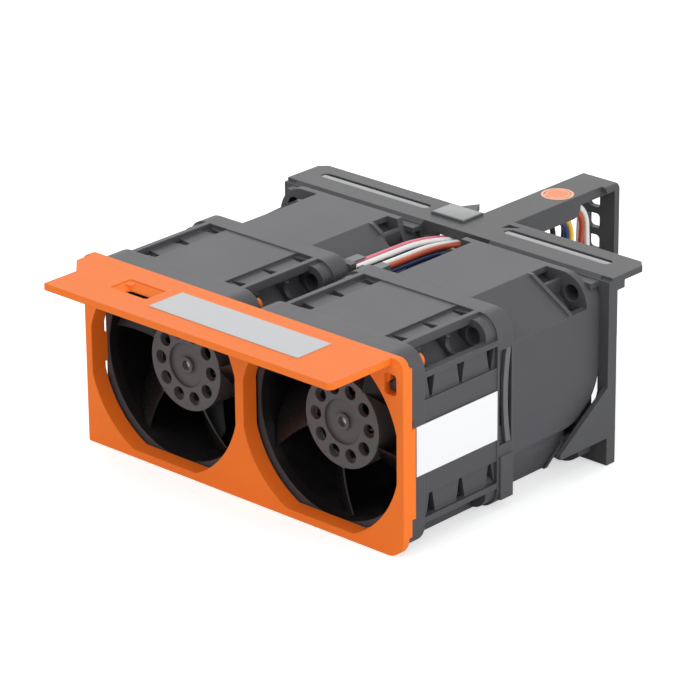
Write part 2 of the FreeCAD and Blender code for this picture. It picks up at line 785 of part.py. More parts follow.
def obround(x, y, half_w, z):
    """A long slot with round ends, lying along X."""
    ends = [Part.makeCylinder(half_w, z[1] - z[0], V(end, y, z[0])) for end in (x[0] + half_w, x[1] - half_w)]
    return fuse([box((x[0] + half_w, x[1] - half_w), (y - half_w, y + half_w), z)] + ends)


def gusset(sign):
    outline = [(fan_back, gusset_high), (fan_back - gusset_reach, gusset_low + gusset_tip),
               (fan_back - gusset_reach, gusset_low), (fan_back, gusset_low)]
    x = sorted((sign * strip_half, sign * (strip_half - side_rib_t)))
    return prism_x(outline, x)


def rear_carrier():
    half = strip_half
    corner = strip_corner
    strip_outline = [(-half, strip_front), (half, strip_front), (half, strip_back - corner),
                     (half - corner, strip_back), (corner - half, strip_back), (-half, strip_back - corner)]
    plate_y = (fan_back, plate_back)
    ledge_top = ledge_low + ledge_t
    ledge_half = fan_side - ledge_in
    ledge_front = fan_back - ledge_reach
    ledge_back = strip_front + strip_t
    ledge_outline = [(ledge_front, ledge_low), (ledge_front, ledge_top), (fan_back, ledge_top),
                     (strip_front, strip_top), (ledge_back, strip_top), (ledge_back, ledge_low)]
    peak_middle = (peak_x[0] + peak_x[1]) / 2
    peak = [(peak_x[0], strip_back - corner), (peak_x[0], strip_back), (peak_middle, strip_back + peak_len),
            (peak_x[1], strip_back), (peak_x[1], strip_back - corner)]
    pieces = [
        box((-half, half), plate_y, (0, strip_low + strip_t / 2)),
        prism_z(strip_outline, (strip_low, strip_top)),
        prism_x(ledge_outline, (-ledge_half, ledge_half)),
        prism_z(peak, (strip_low, strip_top)),
        gusset(-1),
        gusset(1),
    ]
    for x in strip_rib_x:
        outline = [(plate_back - strip_t / 2, strip_low), (strip_back - corner, strip_low),
                   (plate_back, strip_low - strip_rib_drop),
                   (plate_back - strip_t / 2, strip_low - strip_rib_drop)]
        pieces.append(prism_x(outline, (x - side_rib_t / 2, x + side_rib_t / 2)))
    for sign in (-1, 1):
        stub_x = sorted((sign * half, sign * (half - stub_w)))
        stub_y = (plate_back, plate_back + stub_len)
        pieces.append(box(stub_x, stub_y, (strip_low - stub_h, strip_low)))
    badge_w, badge_len = badge_size
    badge_y = (badge_back - badge_len, badge_back)
    badge_span = (badge_x - badge_w / 2, badge_x + badge_w / 2)
    pieces.append(box(badge_span, badge_y, (strip_low, strip_top + badge_t)))
    body = fuse(pieces)
    tools = windows(plate_y)
    groove_y = strip_back - groove_back - groove_w / 2
    groove_low = strip_top - groove_depth
    groove_end = strip_back - groove_back
    for span in groove_x:
        groove = obround(span, groove_y, groove_w / 2, (groove_low, strip_top + strip_t))
        floor = prism_x([(groove_end - groove_w, strip_top - groove_lip), (groove_end, groove_low),
                         (groove_end - groove_w, groove_low)], span)
        tools.append(groove.cut(floor))
    notch_z = (strip_low - plate_notch_drop[1], strip_low - plate_notch_drop[0])
    gap_y = (fan_back - 2 * ledge_reach, strip_front)
    through_y = (fan_back - foot_h, plate_back + foot_h)
    tools.append(box(ledge_gap_x, gap_y, (ledge_low - ledge_t, strip_top)))
    tools.append(box(plate_notch_x, through_y, notch_z))
    tools.append(box((foot_w - half, half - foot_w), through_y, (-foot_h, foot_h)))
    mark_x, mark_y, mark_depth = root_mark
    mark = [(arm_right, strip_back - corner), (arm_right + mark_x, strip_back - corner),
            (arm_right, strip_back - corner - mark_y)]
    tools.append(prism_z(mark, (strip_top - mark_depth, strip_top + mark_depth)))
    return cut(body, tools)


def wiring_arm():
    """Channel over the leads, with a window wall at its end and a tongue under the strip."""
    inner = (arm_left + arm_wall, arm_right - arm_wall)
    head_x = (arm_left, arm_left + arm_head_w)
    tongue_y = (strip_back - tongue_len, strip_back + arm_wall)
    under = strip_top - arm_top_t
    pieces = [
        box((arm_left, arm_right), (strip_back, arm_end), (under, strip_top)),
        box(head_x, (arm_end - arm_head_len, arm_end), (under, strip_top)),
        box(head_x, (post_front, arm_end), (arm_post_low, strip_top)),
        box((arm_left, arm_right), tongue_y, (strip_low - tongue_t, strip_low)),
        box(inner, (post_front - connector_gap, arm_end), (arm_post_low, connector_top - arm_wall)),
    ]
    for x in ((arm_left, inner[0]), (inner[1], arm_right)):
        web = box(x, (strip_back, arm_end - arm_step_in), (arm_web_low, strip_top))
        web_end = [e for e in straight_edges(web, V(1, 0, 0))
                   if e.CenterOfMass.y > strip_back + arm_wall and e.CenterOfMass.z < arm_step_z]
        pieces.append(web.makeFillet(arm_web_r, web_end))
        pieces.append(box(x, (strip_back, arm_end), (arm_step_z, strip_top)))
    body = fuse(pieces)
    outer = [e for e in straight_edges(body, AXIS_Y)
             if e.CenterOfMass.z > under + arm_top_t / 2 and e.CenterOfMass.x > arm_right]
    body = body.makeFillet(arm_corner_r, outer)
    touch_middle = V(arm_x, arm_end - touch_in, strip_top - touch_depth)
    tools = [Part.makeCylinder(touch_r + press_gap, 2 * touch_depth, touch_middle)]
    hole_x = (arm_x - arm_hole_w / 2, arm_x + arm_hole_w / 2)
    for drop in arm_hole_drop:
        hole_z = (strip_top - drop - arm_hole_h / 2, strip_top - drop + arm_hole_h / 2)
        hole = box(hole_x, (post_front - arm_wall, arm_end + arm_wall), hole_z)
        tools.append(rounded(hole, arm_hole_corner, AXIS_Y))
    return cut(body, tools)


def touch_point():
    """Coloured disc in the arm's top, with a groove round its middle."""
    low = V(arm_x, arm_end - touch_in, strip_top - touch_depth)
    disc = Part.makeCylinder(touch_r, touch_depth, low)
    groove = Part.makeCylinder(touch_r - touch_ring_w, touch_depth, low + V(0, 0, touch_depth / 2))
    middle = Part.makeCylinder(touch_disc_r, touch_depth, low)
    return disc.cut(groove.cut(middle))


def contact_places():
    return [(x, y) for x in column_x for y in row_y]


def connector_housing():
    middle = (row_y[0] + row_y[-1]) / 2
    body = box((arm_x - connector_w / 2, arm_x + connector_w / 2),
               (middle - connector_len / 2, middle + connector_len / 2), (connector_low, connector_top))
    body = rounded(body, connector_corner_r, V(0, 0, 1))
    cavities = [box((x - cavity_w / 2, x + cavity_w / 2), (y - cavity_w / 2, y + cavity_w / 2),
                    (0, connector_low + cavity_depth)) for x, y in contact_places()]
    return cut(body, cavities)


def connector_contacts():
    top = connector_low + cavity_depth
    half = contact_w / 2
    return [box((x - half, x + half), (y - half, y + half), (top - contact_len, top))
            for x, y in contact_places()]


def valley_z(x):
    """Height of the rear stages' slopes, which fall towards the gap between the fans."""
    share = max(abs(x) - fan_gap / 2, 0) / slope_margin
    return fan_size - slope_drop + share * slope_drop


def wire_clip():
    """Strap in the valley between the fans, with a hook at each side over the leads."""
    y = (seam_y + wire_boss_len + clip_gap, seam_y + wire_boss_len + clip_gap + clip_len)
    edge = fan_gap / 2
    inside = clip_post_x
    outside = clip_post_x + clip_post_w
    hook_top = clip_hook_low + clip_t
    low = [(x, valley_z(x) + press_gap) for x in (-outside, -edge, edge, clip_tail_x)]
    right = [(clip_tail_x, valley_z(clip_tail_x) + clip_t), (outside, valley_z(outside) + clip_t),
             (outside, hook_top), (inside - clip_hook, hook_top), (inside - clip_hook, clip_hook_low),
             (inside, clip_hook_low), (inside, valley_z(inside) + clip_t), (edge, valley_z(edge) + clip_t)]
    left = [(-x, z) for x, z in reversed(right[1:])]
    return prism_y(low + right + left, y)


# ---- leads ----

def route(points):
    """Straight runs joined by tangent arcs, each as large as its two runs allow."""
    edges = []
    radii = []
    at = points[0]
    for before, corner, after in zip(points, points[1:], points[2:]):
        back = before - corner
        ahead = after - corner
        turn = math.pi - back.getAngle(ahead)
        trim = bend_share * min(back.Length, ahead.Length)
        radii.append(trim / math.tan(turn / 2))
        start = corner + back.normalize() * trim
        end = corner + ahead.normalize() * trim
        bisector = (start + end) * 0.5 - corner
        drop = radii[-1] / math.cos(turn / 2) - radii[-1]
        middle = corner + bisector.normalize() * drop
        edges.append(Part.LineSegment(at, start).toShape())
        edges.append(Part.Arc(start, middle, end).toShape())
        at = end
    edges.append(Part.LineSegment(at, points[-1]).toShape())
    return Part.Wire(edges), radii


def lead(name, points):
    path, radii = route(points)
    first = path.Edges[0]
    profile = Part.Wire([Part.makeCircle(wire_r, points[0], first.tangentAt(first.FirstParameter))])
    solid = path.makePipeShell([profile], True, False)
    expected = math.pi * wire_r ** 2 * path.Length
    print("%s: length %.1f, least radius %.1f, volume / section x length %.4f"
          % (name, path.Length, min(radii), solid.Volume / expected))
    return solid


def lead_points(side, column, row):
    """Route of one lead, from its cable outlet through the valley and the arm to the connector.

    side is -1 for the left fan and 1 for the right; column is 0 beside the gap and 1 outside.
    """
    start_x = side * lead_x[column]
    z = lead_rows[row]
    place = (2 + column) if side > 0 else (1 - column)
    arm_way = channel_x[place]
    drop_y = row_y[2 * row + 1 - column]
    pin_x = column_x[0] if side < 0 else column_x[1]
    start_y = seam_y + wire_boss_len
    heights = [z - fall for fall in lead_fall]
    return [
        V(start_x, start_y, z),
        V(start_x, start_y + lead_square, z),
        V(start_x, fan_back - lead_turn_in[0], heights[0]),
        V(arm_way, strip_back - lead_turn_in[1], heights[1]),
        V(arm_way, strip_back + lead_arm_in, heights[2]),
        V(arm_way, drop_y, heights[3]),
        V(pin_x, drop_y, connector_top + lead_rise),
        V(pin_x, drop_y, connector_top),
    ]


# ---- all sub-parts ----

def main():
    os.makedirs("parts", exist_ok=True)
    export("front_handle", [front_handle()])
    export("handle_label", [box(handle_sticker_x, handle_sticker_y, (plate_h, plate_h + sticker_t))])
    fan_label = box((fan_side, fan_side + sticker_t), fan_sticker_y, fan_sticker_z)
    export("fan_label", [fan_label])
    export("rear_carrier", [rear_carrier()])
    export("wiring_arm", [wiring_arm()])
    export("touch_point", [touch_point()])
    export("connector_housing", [connector_housing()])
    export("connector_contacts", connector_contacts())
    export("wire_clip", [wire_clip()])
    front = front_housing()
    for name, fan, inner, front_turn, rear_turn in (
            ("left", fan_x[0], 1, front_rotor_turn_deg[0], rear_rotor_turn_deg[0]),
            ("right", fan_x[1], -1, front_rotor_turn_deg[1], rear_rotor_turn_deg[1])):
        export(name + "_front_frame", lengthwise([front], fan, fan_front))
        export(name + "_rear_frame", lengthwise([rear_housing(inner)], fan, seam_y))
        export(name + "_stage_clips", stage_clips(fan))
        front_rotor = impeller(FRONT, front_blade_count, front_turn, 1, 1)
        export(name + "_front_impeller", lengthwise([front_rotor], fan, fan_front))
        rear_rotor = impeller(REAR, rear_blade_count, rear_turn, -1, -1)
        export(name + "_rear_impeller", reversed_stage([rear_rotor], fan))
        for piece, make in (("yoke", yoke), ("magnet", magnet), ("shaft", shaft), ("board", circuit_board),
                            ("core", stator_core)):
            export(name + "_front_" + piece, lengthwise([make(FRONT)], fan, fan_front))
            export(name + "_rear_" + piece, reversed_stage([make(REAR)], fan))
        for piece, make in (("bearings", bearings), ("windings", windings)):
            export(name + "_front_" + piece, lengthwise(make(FRONT), fan, fan_front))
            export(name + "_rear_" + piece, reversed_stage(make(REAR), fan))
    for side_name, side in (("left", -1), ("right", 1)):
        for row in (0, 1):
            for column in (0, 1):
                name = "%s_lead_%d" % (side_name, 1 + 2 * row + column)
                export(name, [lead(name, lead_points(side, column, row))])


main()
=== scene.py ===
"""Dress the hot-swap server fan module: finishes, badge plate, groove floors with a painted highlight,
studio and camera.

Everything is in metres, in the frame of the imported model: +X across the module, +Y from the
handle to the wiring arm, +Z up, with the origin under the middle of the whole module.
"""
import logging
import math
from dataclasses import dataclass, field, replace
from enum import Enum

import bmesh
import bpy
from mathutils import Matrix, Vector


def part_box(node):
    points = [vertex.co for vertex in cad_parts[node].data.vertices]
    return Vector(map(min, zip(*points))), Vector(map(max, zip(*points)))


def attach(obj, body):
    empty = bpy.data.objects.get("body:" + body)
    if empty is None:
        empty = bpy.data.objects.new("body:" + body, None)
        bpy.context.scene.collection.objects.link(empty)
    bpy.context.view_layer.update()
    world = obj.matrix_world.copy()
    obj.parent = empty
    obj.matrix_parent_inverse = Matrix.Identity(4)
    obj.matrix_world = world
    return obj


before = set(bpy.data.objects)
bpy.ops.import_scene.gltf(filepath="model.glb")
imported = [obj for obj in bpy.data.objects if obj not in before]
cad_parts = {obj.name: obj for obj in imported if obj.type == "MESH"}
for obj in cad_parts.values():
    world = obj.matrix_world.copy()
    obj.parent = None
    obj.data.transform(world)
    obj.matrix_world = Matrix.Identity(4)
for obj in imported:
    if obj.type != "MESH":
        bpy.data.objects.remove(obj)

LOG = logging.getLogger("fan_module")
MM = 0.001
BODY = "housing"
Colour = tuple[float, float, float]
Place = tuple[float, float, float]


class Side(Enum):
    """The two fans, as seen from the handle."""

    LEFT = "left"
    RIGHT = "right"


class Stage(Enum):
    """The two stages of a fan, in the order in which the air meets them."""

    FRONT = "front"
    REAR = "rear"


class Plane(Enum):
    """The two axes that a round zone's radius is measured along."""

    FACING = ("X", "Z")
    LYING = ("X", "Y")


# ---------------------------------------------------------------- node helpers

class Tree:
    """A short way to add nodes to a shader tree and join them."""

    def __init__(self, tree: bpy.types.NodeTree) -> None:
        """Keep the tree.

        Args:
            tree: The node tree of a material, a world or a node group.
        """
        self.tree = tree

    def add(self, kind: str, **settings: object) -> bpy.types.Node:
        """Add a node.

        Args:
            kind: The node's type name, without the ShaderNode in front.
            settings: Attributes to set on the node.

        Returns:
            The new node.
        """
        node = self.tree.nodes.new("ShaderNode" + kind)
        for name, value in settings.items():
            setattr(node, name, value)
        return node

    def join(self, source: bpy.types.NodeSocket, target: bpy.types.NodeSocket) -> None:
        """Link an output to an input.

        Args:
            source: The output socket.
            target: The input socket.
        """
        self.tree.links.new(source, target)

    def feed(self, socket: bpy.types.NodeSocket, value: object) -> None:
        """Join a socket to an input, or set the input to a number or colour.

        Args:
            socket: The input.
            value: An output socket, a number or a colour.
        """
        if isinstance(value, bpy.types.NodeSocket):
            self.join(value, socket)
        elif isinstance(value, tuple):
            socket.default_value = (*value, 1.0)
        else:
            socket.default_value = value

    def math(self, operation: str, first: object, second: object = 0.0) -> bpy.types.NodeSocket:
        """Add a Math node.

        Args:
            operation: The node's operation, such as MULTIPLY.
            first: A socket or a number.
            second: A socket or a number.

        Returns:
            The node's output socket.
        """
        node = self.add("Math", operation=operation)
        self.feed(node.inputs[0], first)
        self.feed(node.inputs[1], second)
        return node.outputs[0]

    def mix(self, share: object, first: object, second: object) -> bpy.types.NodeSocket:
        """Add a node that mixes two colours.

        Args:
            share: A socket or a number; 1 gives the second colour.
            first: A socket or a colour.
            second: A socket or a colour.

        Returns:
            The node's output socket.
        """
        node = self.add("MixRGB", blend_type="MIX")
        for name, value in (("Fac", share), ("Color1", first), ("Color2", second)):
            self.feed(node.inputs[name], value)
        return node.outputs["Color"]

    def ramp(self, value: object, low: float, high: float) -> bpy.types.NodeSocket:
        """Add a smooth step from 0 at low to 1 at high.

        Args:
            value: A socket.
            low: Where the step begins.
            high: Where it ends.

        Returns:
            The node's output socket.
        """
        node = self.add("MapRange", interpolation_type="SMOOTHSTEP")
        self.feed(node.inputs["Value"], value)
        node.inputs["From Min"].default_value = low
        node.inputs["From Max"].default_value = high
        return node.outputs["Result"]


class Group:
    """A shader node group with named numbers in and out."""

    def __init__(self, name: str, inputs: dict[str, float], outputs: tuple[str, ...]) -> None:
        """Make the empty group.

        Args:
            name: The group's name.
            inputs: Name and default value of each number that goes in.
            outputs: Names of the numbers that come out.
        """
        self.data = bpy.data.node_groups.new(name, "ShaderNodeTree")
        for socket, value in inputs.items():
            made = self.data.interface.new_socket(socket, in_out="INPUT", socket_type="NodeSocketFloat")
            made.default_value = value
        for socket in outputs:
            self.data.interface.new_socket(socket, in_out="OUTPUT", socket_type="NodeSocketFloat")
        self.tree = Tree(self.data)
        self.source = self.data.nodes.new("NodeGroupInput")
        self.sink = self.data.nodes.new("NodeGroupOutput")

    def noise(self, scale: str, detail: float = 2.0, rough: float = 0.5) -> bpy.types.NodeSocket:
        """Add a noise on Object coordinates.

        Args:
            scale: The name of the group's input that holds its scale.
            detail: The noise's detail.
            rough: The noise's roughness.

        Returns:
            The noise's value.
        """
        node = self.tree.add("TexNoise")
        node.inputs["Detail"].default_value = detail
        node.inputs["Roughness"].default_value = rough
        self.tree.join(self.tree.add("TexCoord").outputs["Object"], node.inputs["Vector"])
        self.tree.join(self.source.outputs[scale], node.inputs["Scale"])
        return node.outputs["Fac"]


# ---------------------------------------------------------------- surface patterns

BEVEL_SAMPLES = 4
GRAIN_DETAIL = 3.0
GRAIN_ROUGHNESS = 0.6
PIT_SHARE = 0.5  # How much the grain's pits add to its height.
WEAR_AND_HIGHLIGHT_CONTRAST = 6.0  # How sharply the rubbing and the painted highlight of an edge set in.
DUST_DETAIL = 6.0
FLOW_STRETCH = (0.25, 1.0, 1.0)  # The flow marks run along X.
FLOW_DETAIL = 4.0
FLOW_DISTORTION = 1.2
FLOW_STEP = (0.45, 0.75)  # The noise values between which a streak fades in.
WINDING_DISTORTION = 0.4


def moulded_grain_group() -> Group:
    """Build the surface of a spark-eroded plastic moulding.

    Returns:
        A group that puts out a fine height, a slow shade and a roughness change.
    """
    group = Group("moulded_grain", {"Scale": 4000.0, "Shade scale": 60.0}, ("Height", "Shade", "Rough"))
    tree = group.tree
    fine = group.noise("Scale", detail=GRAIN_DETAIL, rough=GRAIN_ROUGHNESS)
    slow = group.noise("Shade scale")
    pits = tree.add("TexVoronoi")
    tree.join(tree.add("TexCoord").outputs["Object"], pits.inputs["Vector"])
    tree.join(group.source.outputs["Scale"], pits.inputs["Scale"])
    height = tree.math("ADD", fine, tree.math("MULTIPLY", pits.outputs["Distance"], PIT_SHARE))
    tree.join(height, group.sink.inputs["Height"])
    tree.join(slow, group.sink.inputs["Shade"])
    tree.join(tree.math("MULTIPLY", fine, slow), group.sink.inputs["Rough"])
    return group


def edge_wear_and_highlight_group() -> Group:
    """Build a mask of the outer edges, broken up by noise, where a moulding is rubbed pale and given a
    painted highlight.

    Returns:
        A group that puts out the mask.
    """
    group = Group("edge_wear_and_highlight", {"Width": 0.5 * MM, "Break": 900.0}, ("Mask",))
    tree = group.tree
    bevel = tree.add("Bevel", samples=BEVEL_SAMPLES)
    tree.join(group.source.outputs["Width"], bevel.inputs["Radius"])
    dot = tree.add("VectorMath", operation="DOT_PRODUCT")
    tree.join(bevel.outputs["Normal"], dot.inputs[0])
    tree.join(tree.add("NewGeometry").outputs["Normal"], dot.inputs[1])
    edge = tree.math("SUBTRACT", 1.0, dot.outputs["Value"])
    broken = tree.math("MULTIPLY", edge, group.noise("Break"))
    clamp = tree.add("Clamp")
    tree.join(tree.math("MULTIPLY", broken, WEAR_AND_HIGHLIGHT_CONTRAST), clamp.inputs["Value"])
    tree.join(clamp.outputs["Result"], group.sink.inputs["Mask"])
    return group


def settled_dust_group() -> Group:
    """Build a mask of the faint dust that lies on faces that look upwards.

    Returns:
        A group that puts out the mask.
    """
    group = Group("settled_dust", {"Amount": 0.2, "Scale": 250.0}, ("Mask",))
    tree = group.tree
    parts = tree.add("SeparateXYZ")
    tree.join(tree.add("NewGeometry").outputs["Normal"], parts.inputs[0])
    upward = tree.math("MAXIMUM", parts.outputs["Z"], 0.0)
    spread = tree.math("MULTIPLY", upward, group.noise("Scale", detail=DUST_DETAIL))
    tree.join(tree.math("MULTIPLY", spread, group.source.outputs["Amount"]), group.sink.inputs["Mask"])
    return group


def flow_marks_group() -> Group:
    """Build the long faint streaks that molten plastic leaves as it fills a mould.

    Returns:
        A group that puts out the streaks' strength.
    """
    group = Group("flow_marks", {"Scale": 90.0}, ("Streak",))
    tree = group.tree
    stretch = tree.add("Mapping")
    stretch.inputs["Scale"].default_value = FLOW_STRETCH
    tree.join(tree.add("TexCoord").outputs["Object"], stretch.inputs["Vector"])
    noise = tree.add("TexNoise")
    noise.inputs["Detail"].default_value = FLOW_DETAIL
    noise.inputs["Distortion"].default_value = FLOW_DISTORTION
    tree.join(stretch.outputs["Vector"], noise.inputs["Vector"])
    tree.join(group.source.outputs["Scale"], noise.inputs["Scale"])
    tree.join(tree.ramp(noise.outputs["Fac"], *FLOW_STEP), group.sink.inputs["Streak"])
    return group


def round_zone_group(plane: Plane) -> Group:
    """Build a mask of all that lies within a radius of a centre.

    Args:
        plane: The two axes that the radius is measured along.

    Returns:
        A group that puts out the mask, 1 inside.
    """
    inputs = {"Across": 0.0, "Along": 0.0, "Radius": 0.01}
    group = Group("round_zone_" + plane.name.lower(), inputs, ("Mask",))
    tree = group.tree
    parts = tree.add("SeparateXYZ")
    tree.join(tree.add("TexCoord").outputs["Object"], parts.inputs[0])
    first = tree.math("SUBTRACT", parts.outputs[plane.value[0]], group.source.outputs["Across"])
    second = tree.math("SUBTRACT", parts.outputs[plane.value[1]], group.source.outputs["Along"])
    square = tree.math("ADD", tree.math("MULTIPLY", first, first), tree.math("MULTIPLY", second, second))
    reach = tree.math("SQRT", square)
    tree.join(tree.math("LESS_THAN", reach, group.source.outputs["Radius"]), group.sink.inputs["Mask"])
    return group


def wound_wire_group() -> Group:
    """Build the ridges of fine wire wound side by side on a motor's poles.

    Returns:
        A group that puts out the ridges' height.
    """
    group = Group("wound_wire", {"Scale": 1500.0}, ("Height",))
    tree = group.tree
    wave = tree.add("TexWave", bands_direction="X")
    wave.inputs["Distortion"].default_value = WINDING_DISTORTION
    tree.join(tree.add("TexCoord").outputs["Object"], wave.inputs["Vector"])
    tree.join(group.source.outputs["Scale"], wave.inputs["Scale"])
    tree.join(wave.outputs["Fac"], group.sink.inputs["Height"])
    return group


class Effects:
    """The shared node groups, each built once."""

    def __init__(self) -> None:
        """Build all groups."""
        self.grain = moulded_grain_group()
        self.wear_and_highlight = edge_wear_and_highlight_group()
        self.dust = settled_dust_group()
        self.flow = flow_marks_group()
        self.zones = {plane: round_zone_group(plane) for plane in Plane}
        self.wound = wound_wire_group()

    @staticmethod
    def place(tree: Tree, group: Group, **values: float) -> bpy.types.Node:
        """Put a group into a material's tree.

        Args:
            tree: The material's tree.
            group: One of the shared groups.
            values: Input values by name, with _ for each space.

        Returns:
            The group node.
        """
        node = tree.add("Group", node_tree=group.data)
        for name, value in values.items():
            node.inputs[name.replace("_", " ")].default_value = value
        return node


# ---------------------------------------------------------------- finishes

# What all mouldings share: the scales of their patterns, and how strong each pattern is.
DRIFT_SCALE = 45.0
WEAR_AND_HIGHLIGHT_SCALE = 1400.0
DUST_SCALE = 380.0
FLOW_SCALE = 90.0
ROUGH_SPREAD = 0.25
ROUGH_OFFSET = 0.06  # Taken off, so that the spread lies round the mean roughness.
STREAK_GAIN = 1.5
STREAK_LIFT = 0.01
# Lift of the edge colour: rubbed pale, and a painted highlight along the edges.
RUBBED_AND_HIGHLIGHT_LIFT = 0.22
DUST_COLOUR = (0.55, 0.54, 0.52)
GRAIN_BUMP = 0.6

# What all metals share.
METAL_DRIFT_SCALE = 150.0
METAL_DULLING = 0.82
METAL_ROUGH_SPREAD = 0.3
METAL_ROUGH_OFFSET = 0.07
METAL_BUMP = 0.3
BRUSH_DEPTH = 0.004 * MM
WINDING_DEPTH = 0.05 * MM


@dataclass(frozen=True)
class Zone:
    """A round part of a moulding that has its own colour and roughness.

    Attributes:
        centre: Place of its centre along the plane's two axes.
        radius: Reach of the zone.
        colour: Its base colour, linear.
        rough: Its roughness.
        plane: The axes that the radius is measured along.
    """

    centre: tuple[float, float]
    radius: float
    colour: Colour
    rough: float
    plane: Plane = Plane.FACING


@dataclass(frozen=True)
class Moulded:
    """A moulded plastic or rubber surface.

    Attributes:
        name: The material's name.
        colour: Base colour, linear.
        rough: Mean roughness.
        grain: Size of the spark-eroded grain, as a noise scale.
        depth: Depth of the grain in metres.
        shade: How far the colour drifts over the surface.
        streak: How much the flow marks show.
        wear_and_highlight: How pale the edges are, rubbed and lit by a painted highlight.
        dust: How much dust lies on top faces.
        edge: Width of the rounded edges in metres.
        coat: Weight of a clear gloss.
        gloss: Strength of the plastic's own reflection, 0.5 for plain plastic.
        zone: A zone with its own colour and roughness.
    """

    name: str
    colour: Colour
    rough: float = 0.45
    grain: float = 5200.0
    depth: float = 0.012 * MM
    shade: float = 0.10
    streak: float = 0.06
    wear_and_highlight: float = 0.10
    dust: float = 0.05
    edge: float = 0.25 * MM
    coat: float = 0.0
    gloss: float = 0.5
    zone: Zone | None = None

    def build(self, effects: Effects) -> bpy.types.Material:
        """Make the material.

        Args:
            effects: The shared node groups.

        Returns:
            The finished material.
        """
        material = bpy.data.materials.new(self.name)
        material.use_nodes = True
        tree = Tree(material.node_tree)
        shader = material.node_tree.nodes["Principled BSDF"]
        grain = effects.place(tree, effects.grain, Scale=self.grain, Shade_scale=DRIFT_SCALE)
        wear_and_highlight = effects.place(tree, effects.wear_and_highlight, Width=self.edge, Break=WEAR_AND_HIGHLIGHT_SCALE)
        dust = effects.place(tree, effects.dust, Amount=self.dust, Scale=DUST_SCALE)
        flow = effects.place(tree, effects.flow, Scale=FLOW_SCALE)
        dark = tuple(c * (1 - self.shade) for c in self.colour)
        pale = tuple(min(1.0, c * (1 + self.shade)) for c in self.colour)
        colour = tree.mix(grain.outputs["Shade"], dark, pale)
        spread = tree.math("MULTIPLY", grain.outputs["Rough"], ROUGH_SPREAD)
        rough = tree.math("ADD", spread, self.rough - ROUGH_OFFSET)
        if self.zone:
            zone = effects.place(tree, effects.zones[self.zone.plane], Across=self.zone.centre[0],
                                 Along=self.zone.centre[1], Radius=self.zone.radius)
            inside = zone.outputs["Mask"]
            colour = tree.mix(inside, colour, self.zone.colour)
            rough = tree.math("ADD", rough, tree.math("MULTIPLY", inside, self.zone.rough - self.rough))
        streaked = tuple(min(1.0, c * STREAK_GAIN + STREAK_LIFT) for c in self.colour)
        colour = tree.mix(tree.math("MULTIPLY", flow.outputs["Streak"], self.streak), colour, streaked)
        # Paler edges: rubbing and a painted highlight.
        rubbed_and_highlight = tuple(min(1.0, c + RUBBED_AND_HIGHLIGHT_LIFT) for c in self.colour)
        colour = tree.mix(tree.math("MULTIPLY", wear_and_highlight.outputs["Mask"], self.wear_and_highlight), colour, rubbed_and_highlight)
        colour = tree.mix(dust.outputs["Mask"], colour, DUST_COLOUR)
        tree.join(colour, shader.inputs["Base Color"])
        tree.join(rough, shader.inputs["Roughness"])
        bump = tree.add("Bump")
        bump.inputs["Strength"].default_value = GRAIN_BUMP
        bump.inputs["Distance"].default_value = self.depth
        tree.join(grain.outputs["Height"], bump.inputs["Height"])
        soft = tree.add("Bevel", samples=BEVEL_SAMPLES)
        soft.inputs["Radius"].default_value = self.edge
        tree.join(soft.outputs["Normal"], bump.inputs["Normal"])
        tree.join(bump.outputs["Normal"], shader.inputs["Normal"])
        shader.inputs["Coat Weight"].default_value = self.coat
        shader.inputs["Specular IOR Level"].default_value = self.gloss
        return material


@dataclass(frozen=True)
class Metal:
    """A bare or enamelled metal surface.

    Attributes:
        name: The material's name.
        colour: Base colour, linear.
        rough: Mean roughness.
        brush: Scale of the fine drawn marks.
        metallic: 1 for metal, less for enamelled wire.
        wound: Scale of the ridges of wound wire, or 0 for none.
    """

    name: str
    colour: Colour
    rough: float = 0.3
    brush: float = 2500.0
    metallic: float = 1.0
    wound: float = 0.0

    def build(self, effects: Effects) -> bpy.types.Material:
        """Make the material.

        Args:
            effects: The shared node groups.

        Returns:
            The finished material.
        """
        material = bpy.data.materials.new(self.name)
        material.use_nodes = True
        tree = Tree(material.node_tree)
        shader = material.node_tree.nodes["Principled BSDF"]
        grain = effects.place(tree, effects.grain, Scale=self.brush, Shade_scale=METAL_DRIFT_SCALE)
        dull = tuple(c * METAL_DULLING for c in self.colour)
        tree.join(tree.mix(grain.outputs["Shade"], dull, self.colour), shader.inputs["Base Color"])
        spread = tree.math("MULTIPLY", grain.outputs["Rough"], METAL_ROUGH_SPREAD)
        tree.join(tree.math("ADD", spread, self.rough - METAL_ROUGH_OFFSET), shader.inputs["Roughness"])
        bump = tree.add("Bump")
        bump.inputs["Strength"].default_value = METAL_BUMP
        bump.inputs["Distance"].default_value = BRUSH_DEPTH
        tree.join(grain.outputs["Height"], bump.inputs["Height"])
        if self.wound:
            ridges = effects.place(tree, effects.wound, Scale=self.wound)
            lay = tree.add("Bump")
            lay.inputs["Distance"].default_value = WINDING_DEPTH
            tree.join(ridges.outputs["Height"], lay.inputs["Height"])
            tree.join(lay.outputs["Normal"], bump.inputs["Normal"])
        tree.join(bump.outputs["Normal"], shader.inputs["Normal"])
        shader.inputs["Metallic"].default_value = self.metallic
        return material


